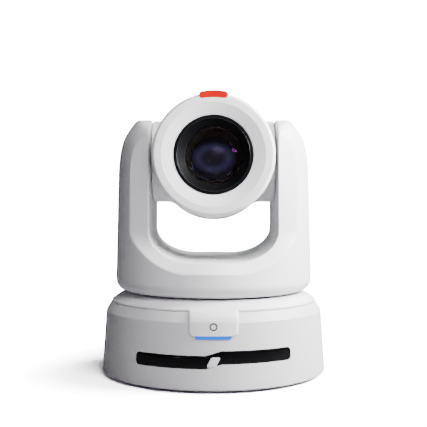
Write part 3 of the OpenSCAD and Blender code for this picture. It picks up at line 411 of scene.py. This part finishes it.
def yoke_half(front):
    """Rings of points round the U of the casing. Each lies in a plane across the U, where rays from the
    middle of the wall find the surface by halving; the last ring at each arm closes to a point."""
    top = yoke_high - 0.03 - 3.5 * (1 - np.cos(np.linspace(0, 1, 12) * math.pi / 2))
    arm = np.concatenate([top, np.linspace(204.6, 184, 16), np.linspace(182, 121, 30)])
    corners = np.linspace(0, math.pi / 2, 44)
    floor = np.linspace(corner_x, 0, 10)[1:]
    starts = [(corner_x + wide_r, z, 1.0, 0.0) for z in arm]
    for a in corners:
        c, d = math.cos(a), math.sin(a)
        starts.append((corner_x + wide_r * c, corner_z - tall_r * d, c / wide_r, -d / tall_r))
    starts += [(x, corner_z - tall_r, 0.0, -1.0) for x in floor]
    s = np.array(starts)
    s[:, 2:] /= np.hypot(s[:, 2], s[:, 3])[:, None]
    s = np.vstack([s, (s * [-1, 1, -1, 1])[-2::-1]])
    turn = np.linspace(0, math.pi, 200)
    turn = turn - 0.16 * np.sin(2 * turn)
    depth = np.where(np.abs(s[:, 2]) > 0.999, 9.0, np.where(np.abs(s[:, 3]) > 0.999, 13.0, 18.0))
    depth = np.convolve(np.pad(depth, 6, mode="edge"), np.ones(13) / 13, mode="valid")
    depth[:14] = 8.0
    depth[-14:] = 8.0
    wide = 60.0 - 8.0 * np.abs(s[:, 2])
    du = -np.cos(turn)[None, :] * depth[:, None]
    dy = np.sin(turn)[None, :] * wide[:, None]
    low, high = np.zeros_like(du), np.full_like(du, 6.0)
    for _ in range(34):
        t = (low + high) / 2
        u = depth[:, None] + du * t
        x, y, z = s[:, 0:1] + s[:, 2:3] * u, dy * t, s[:, 1:2] + s[:, 3:4] * u
        inside = yoke_distance(x, y, z) < 0
        low, high = np.where(inside, t, low), np.where(inside, high, t)
    y = np.maximum(y, 0.09)
    p = np.stack([x, -y if front else y, z], -1)
    ends = [np.repeat(q.mean(0)[None], p.shape[1], 0) for q in (p[0], p[-1])]
    ends[0][:, 2] = ends[1][:, 2] = yoke_high
    return np.concatenate([ends[0][None], p, ends[1][None]])


def bored(piece, starts, direction, radius, length):
    """Cuts round holes into a piece: from each start point, mm, along direction for length."""
    work = bmesh.new()
    turned_to = Vector((0, 0, 1)).rotation_difference(Vector(direction)).to_matrix().to_4x4()
    for start in starts:
        middle = Vector(start) + Vector(direction) * (length / 2)
        bmesh.ops.create_cone(work, cap_ends=True, segments=48, radius1=radius / 1000, radius2=radius / 1000,
                              depth=length / 1000, matrix=Matrix.Translation(middle / 1000) @ turned_to)
    mesh = bpy.data.meshes.new("cutter")
    work.to_mesh(mesh)
    work.free()
    cutter = bpy.data.objects.new("cutter", mesh)
    bpy.context.scene.collection.objects.link(cutter)
    cut = piece.modifiers.new("cut", "BOOLEAN")
    cut.operation, cut.solver, cut.object = "DIFFERENCE", "EXACT", cutter
    cut.use_hole_tolerant = True
    done = bpy.data.meshes.new_from_object(piece.evaluated_get(bpy.context.evaluated_depsgraph_get()))
    piece.modifiers.remove(cut)
    piece.data = done
    bpy.data.objects.remove(cutter)
    done.shade_smooth()
    done.set_sharp_from_angle(angle=math.radians(50))


grid_piece("yoke_front_half", yoke_half(True), white_yoke, "yoke",
           ["yoke_front_shell"], wrap=(False, True), sharp=50)
rear_half = grid_piece("yoke_rear_half", yoke_half(False), white_yoke, "yoke",
                       ["yoke_rear_shell"], wrap=(False, True), sharp=50)
screw_seats = [(x, 22, z) for x in (-68.5, 68.5) for z in (145, 192.3)]
bored(rear_half, screw_seats, (0, 1, 0), 3.2, 40)

# ---------- Head casing ----------
# Two white moulded halves screwed together across the tilt axis: a round barrel with a dished face and a
# bevelled rim, and round ears that turn close against the arms.
white_head = plastic("white head plastic", "#e6e7e8", 0.42)
lean = math.radians(2.7)
forward = np.array([0, -math.cos(lean), math.sin(lean)])
upward = np.array([0, math.sin(lean), math.cos(lean)])


def in_head(x, f, h):
    """Row-frame points for x to the side, f forward and h upward of the tilt axis, along the stored tilt."""
    x, f, h = np.broadcast_arrays(np.asarray(x, float), f, h)
    return (x[..., None] * np.array([1.0, 0, 0]) + f[..., None] * forward + h[..., None] * upward
            + np.array([0, 0, 175.2]))


def turned(profile, count=256):
    """Points (r sin a, f, r cos a) about the line of sight for each (r, f) of the profile."""
    a = np.linspace(0, 2 * math.pi, count + 1)[:-1]
    return in_head(np.outer(np.sin(a), profile[:, 0]), np.outer(np.ones(count), profile[:, 1]),
                   np.outer(np.cos(a), profile[:, 0]))


def head_radius(f, angle):
    """Distance from the line of sight to the skin: a barrel joined to the ears' cylinder by a soft fillet."""
    low, high = np.full(np.broadcast(f, angle).shape, 30.0), np.full(np.broadcast(f, angle).shape, 75.0)
    barrel_r = np.interp(f, [-56, -53.6, -44, -30, 70], [33, 37.4, 45.2, 48, 48])
    fillet = 2.5
    for _ in range(32):
        r = (low + high) / 2
        x, h = np.abs(r * np.sin(angle)), r * np.cos(angle)
        ear = both(np.hypot(f, h) - 33.9, x - 50.0, 1.2)
        barrel = r - barrel_r
        soft = np.hypot(np.maximum(fillet - ear, 0), np.maximum(fillet - barrel, 0))
        joined = np.maximum(fillet, np.minimum(ear, barrel)) - soft
        low, high = np.where(joined < 0, r, low), np.where(joined < 0, high, r)
    return r




def head_skin(steps, lip_f):
    """Points of the skin for each f of the steps, and of the lip 2.4 mm inside it where the halves meet."""
    angle = np.linspace(0, 2 * math.pi, 421)[:-1][:, None]
    r = head_radius(steps[None], angle)
    inner = head_radius(lip_f, angle) - 2.4
    return (in_head(r * np.sin(angle), steps[None], r * np.cos(angle)),
            in_head(inner * np.sin(angle), lip_f, inner * np.cos(angle)))


face = rounded([[31.0, 54.0], [31.0, 58.9], [40.4, 62.0], [45.9, 62.0], [48.0, 59.4], [48.0, 50.0]],
               [0, 0.35, 0.5, 0.9, 1.2, 0], 8)
steps = np.concatenate([np.linspace(48, 36, 6), np.linspace(35.2, 22, 34), np.linspace(21.4, 0.08, 26)])
skin, lip = head_skin(steps, 0.08)
grid_piece("head_front_half", np.concatenate([turned(face, 420), skin, lip], 1), white_head, "head",
           ["head_front_shell"], sharp=50)
steps = -np.concatenate([np.linspace(0.08, 21.4, 26), np.linspace(22, 35.2, 34), np.linspace(36, 53, 30)])
skin, lip = head_skin(steps, -0.08)
back = rounded([[38.0, -53.05], [36.6, -54.2], [34.4, -55.4], [31.0, -56.0], [24.0, -56.0], [23.4, -55.2],
                [22.4, -55.2], [21.8, -56.0], [0, -56.0]], [0, 1.0, 1.5, 2.5, 0.2, 0.2, 0.2, 0.2, 0], 5)
head_rear = grid_piece("head_rear_half", np.concatenate([lip, skin, turned(back, 420)], 1), white_head,
                       "head", ["head_rear_shell"], sharp=50)
screw_seats = [in_head(np.array(x), -37.0, h) for x in (-20.4, 20.4) for h in (-36.8, 36.8)]
bored(head_rear, screw_seats, -forward, 3.2, 40)

# ---------- Tally light ----------
# An arched bar of red diffusing plastic let into the top of the rim, lit while the camera is on air.
# Its section shrinks to the middle of the bar at both ends, which rounds them.
lit_red = diffuser("lit red diffuser", "#1c0000", 0.4, 1.35, (0.85, 0.0, 0.0, 1),
                   (1.0, 0.003, 0.003, 1), 120.0)
bar = rounded([[47.0, 48.5], [49.6, 48.5], [49.6, 62.3], [43.9, 62.3], [43.9, 48.5], [47.0, 48.5]],
              [0, 0.8, 0.9, 0.7, 0.4, 0], 6)
bar_r, bar_f, half_sweep, end_length = 46.75, 55.4, 13.9, 2.6
sweep = np.radians(np.linspace(-half_sweep, half_sweep, 57))
end = np.minimum(np.abs(sweep - sweep[0]), np.abs(sweep - sweep[-1])) * 47
squeeze = np.sqrt(np.clip(1 - (1 - np.minimum(end / end_length, 1)) ** 2, 0.0, 1))
tally = []
for a, k in zip(sweep, squeeze):
    r = bar_r + (bar[:-1, 0] - bar_r) * k
    f = bar_f + (bar[:-1, 1] - bar_f) * (0.93 + 0.07 * k)
    tally.append(in_head(r * math.sin(a), f, r * math.cos(a)))
grid_piece("tally_light_bar", np.array(tally), lit_red, "head", ["tally_light"],
           wrap=(False, True), sharp=50)

# ---------- Lens bezel and baffle ----------
# A satin black ring around the glass: a rounded edge with a thin dark steel line in its rim, then a
# cone that runs in to the front element. The baffle behind the glass is matt, to trap stray light.
bezel_black = plastic("black bezel", "#08090a", 0.5, grain=0.2, relief=0.004, shine=0.1)
bezel = rounded([[30.9, 52.7], [30.9, 59.5], [28.6, 59.5], [28.2, 58.6], [23.2, 52.0], [22.6, 51.2],
                 [22.6, 49.2]], [0, 0.7, 0.35, 0.25, 0.5, 0.3, 0], 7)
grid_piece("lens_bezel_ring", turned(bezel), bezel_black, "head", ["lens_bezel"], sharp=60)
line_steel = metal("dark rim line", "#55575b", 0.3)
t, s = np.meshgrid(np.linspace(0, 2 * math.pi, 257)[:-1], np.linspace(0, 2 * math.pi, 9)[:-1], indexing="ij")
wire_r = 28.45 + 0.18 * np.cos(s)
rim_line = in_head(wire_r * np.sin(t), 59.32 + 0.18 * np.sin(s), wire_r * np.cos(t))
grid_piece("bezel_rim_line", rim_line, line_steel, "head", wrap=(True, True), sharp=180)
baffle_black = plastic("matt baffle black", "#0b0b0c", 0.7, grain=0.3, relief=0.02)
dress(baffle_black, "lens_baffle", "lens_barrel", "zoom_lens_group", "focus_lens_group")

# ---------- Lens glass ----------
# Ground glass with thin interference coatings that reflect violet and blue: the front element, and the
# smaller domes of the zoom and rear groups behind it.


def coated_glass(name, film, code, clear, rough=0.015):
    """Glass with a coating film nm thick; the share clear is let through and the rest is tinted dark."""
    material = bpy.data.materials.new(name)
    material.use_nodes = True
    tree = material.node_tree
    shader = tree.nodes["Principled BSDF"]
    shader.inputs["Base Color"].default_value = srgb(code)
    shader.inputs["Roughness"].default_value = rough
    shader.inputs["IOR"].default_value = 1.6
    shader.inputs["Transmission Weight"].default_value = clear
    shader.inputs["Thin Film IOR"].default_value = 1.38
    place = put(tree, "ShaderNodeTexCoord").outputs["Object"]
    uneven = put(tree, "ShaderNodeTexNoise", {"Scale": 12.0, "Detail": 1.0}, {"Vector": place})
    thick = put(tree, "ShaderNodeMapRange", {"To Min": film - 12.0, "To Max": film + 12.0},
                {"Value": uneven.outputs["Fac"]})
    tree.links.new(thick.outputs["Result"], shader.inputs["Thin Film Thickness"])
    return material


def dome(radius, rim, rise, count=40):
    """Profile (r, f) of a spherical cap of R = (r0^2 + rise^2)/(2 rise), with
    f = rim + sqrt(R^2 - r^2) - (R - rise)."""
    big = (radius ** 2 + rise ** 2) / (2 * rise)
    r = radius * np.sin(np.linspace(0, math.pi / 2, count))
    return np.stack([r, rim + np.sqrt(big ** 2 - r ** 2) - (big - rise)], 1)


front_coating = coated_glass("front element coating", 103.0, "#ffffff", 1.0)
cap = dome(22.5, 46.0, 4.6)
under = dome(22.5, 44.4, 2.0)[::-1]
grid_piece("front_element", turned(np.vstack([cap, under])), front_coating, "head",
           ["front_glass"], sharp=40)

# The zoom element glows faintly, brown in the middle and violet farther out: a painted reflection, an
# emission put in place of the light that its coating would gather from the front element.
coating_with_painted_glow = coated_glass("zoom element coating with painted glow", 100.0, "#05050c", 0.0, 0.28)
tree = coating_with_painted_glow.node_tree
place = put(tree, "ShaderNodeTexCoord").outputs["Object"]
across = put(tree, "ShaderNodeVectorMath", {1: (0.0, 0.0, 0.1767)}, {0: place}, operation="SUBTRACT")
flat = put(tree, "ShaderNodeVectorMath", {1: (1.0, 0.0, 1.4)}, {0: across.outputs["Vector"]},
           operation="MULTIPLY")
radius = put(tree, "ShaderNodeVectorMath", (), {0: flat.outputs["Vector"]}, operation="LENGTH")
share = put(tree, "ShaderNodeMapRange", {"From Max": 0.0165}, {"Value": radius.outputs["Value"]})
# Painted glint: emission colours by distance from the lens axis, standing in for reflected light.
painted_glint = put(tree, "ShaderNodeValToRGB", (), {"Fac": share.outputs["Result"]})
painted_glint.color_ramp.elements[0].color = (0.014, 0.008, 0.008, 1)
painted_glint.color_ramp.elements[1].color = (0.002, 0.002, 0.003, 1)
painted_glint.color_ramp.elements.new(0.4).color = (0.010, 0.009, 0.018, 1)
painted_glint.color_ramp.elements.new(0.68).color = (0.026, 0.022, 0.06, 1)
shader = tree.nodes["Principled BSDF"]
shader.inputs["Emission Strength"].default_value = 1.0
tree.links.new(painted_glint.outputs["Color"], shader.inputs["Emission Color"])
element = np.vstack([dome(15.6, 29.2, 5.5), [[15.6, 28.9], [0, 28.9]]])
grid_piece("zoom_element", turned(element, 128), coating_with_painted_glow, "zoom_group", sharp=40)
rear_coating = coated_glass("rear element coating", 250.0, "#0a0a10", 0.0)
dress(rear_coating, "rear_lens_group")

# ---------- Table, light and camera ----------
# The paper lights the object as a mid grey, and the camera sees it white: lit and shaded near the foot,
# glowing evenly farther out. A key lamp stands to the right, and a front lamp and a rear lamp fill.
# The small streak and dot lamps are there for the coloured glints in the lens.
floor_mesh = bpy.data.meshes.new("floor")
floor_mesh.from_pydata([(-6, -6, 0), (6, -6, 0), (6, 6, 0), (-6, 6, 0)], [], [(0, 1, 2, 3)])
floor = bpy.data.objects.new("floor", floor_mesh)
bpy.context.scene.collection.objects.link(floor)
paper = bpy.data.materials.new("pale paper")
paper.use_nodes = True
tree = paper.node_tree
tree.nodes.clear()
seen = put(tree, "ShaderNodeLightPath").outputs["Is Camera Ray"]
shade = put(tree, "ShaderNodeBsdfDiffuse", {"Color": (0.25, 0.25, 0.25, 1)})
bright = put(tree, "ShaderNodeBsdfDiffuse", {"Color": (5.5, 5.5, 5.5, 1)})
lit = put(tree, "ShaderNodeEmission", {"Color": (1, 1, 1, 1), "Strength": 24.0})
place = put(tree, "ShaderNodeTexCoord").outputs["Object"]
away = put(tree, "ShaderNodeVectorMath", (), {0: place}, operation="LENGTH")
fade = put(tree, "ShaderNodeMapRange", {"From Min": 0.11, "From Max": 0.2}, {"Value": away.outputs["Value"]},
           interpolation_type="SMOOTHSTEP")
paper_seen = put(tree, "ShaderNodeMixShader", (),
                 {0: fade.outputs["Result"], 1: bright.outputs[0], 2: lit.outputs[0]})
mixed = put(tree, "ShaderNodeMixShader", (), {0: seen, 1: shade.outputs[0], 2: paper_seen.outputs[0]})
put(tree, "ShaderNodeOutputMaterial", (), {"Surface": mixed.outputs[0]})
floor_mesh.materials.append(paper)


def lamp(name, place, target, size, power, shade=(1, 1, 1)):
    """A soft square lamp at place, metres, that faces target."""
    data = bpy.data.lights.new(name, "AREA")
    data.shape, data.size, data.energy, data.color = "SQUARE", size, power, shade
    lit = bpy.data.objects.new(name, data)
    bpy.context.scene.collection.objects.link(lit)
    lit.location = place
    away = np.array(place) - np.array(target)
    lean_back = math.acos(away[2] / np.linalg.norm(away))
    lit.rotation_euler = (lean_back, 0, math.atan2(away[1], away[0]) + math.pi / 2)
    return lit


lamp("key lamp", (0.3704, -0.1203, 0.3273), (0, 0, 0.17), 0.2, 10.2)
lamp("front lamp", (0.1401, -0.3849, 0.4868), (0, 0, 0.2), 0.25, 4.4).visible_glossy = False
lamp("rear lamp", (0.8624, 0.4979, 0.9556), (0, 0, 0.12), 0.5, 29.0)
lamp("streak lamp", (0.63, -0.9, 0.5), (0, -0.06, 0.18), 0.13, 1.1, (1.0, 0.3, 0.92))
lamp("dot lamp", (-0.33, -0.5, 0.08), (0, -0.06, 0.18), 0.05, 0.1, (0.55, 0.4, 1.0))
world = bpy.data.worlds.new("studio")
bpy.context.scene.world = world
world.use_nodes = True
tree = world.node_tree
tree.nodes.clear()
seen = put(tree, "ShaderNodeLightPath").outputs["Is Camera Ray"]
level = put(tree, "ShaderNodeMapRange", {"To Min": 0.075, "To Max": 24.0}, {"Value": seen})
sky = put(tree, "ShaderNodeBackground", {"Color": (1, 1, 1, 1)}, {"Strength": level.outputs["Result"]})
put(tree, "ShaderNodeOutputWorld", (), {"Surface": sky.outputs["Background"]})

eye = bpy.data.cameras.new("camera")
eye.lens, eye.sensor_width = 69.98, 36.0
camera = bpy.data.objects.new("camera", eye)
bpy.context.scene.collection.objects.link(camera)
camera.location = (0.0, -0.7, 0.1429)
camera.rotation_euler = (math.radians(90 - 0.93), 0, 0)
bpy.context.scene.camera = camera
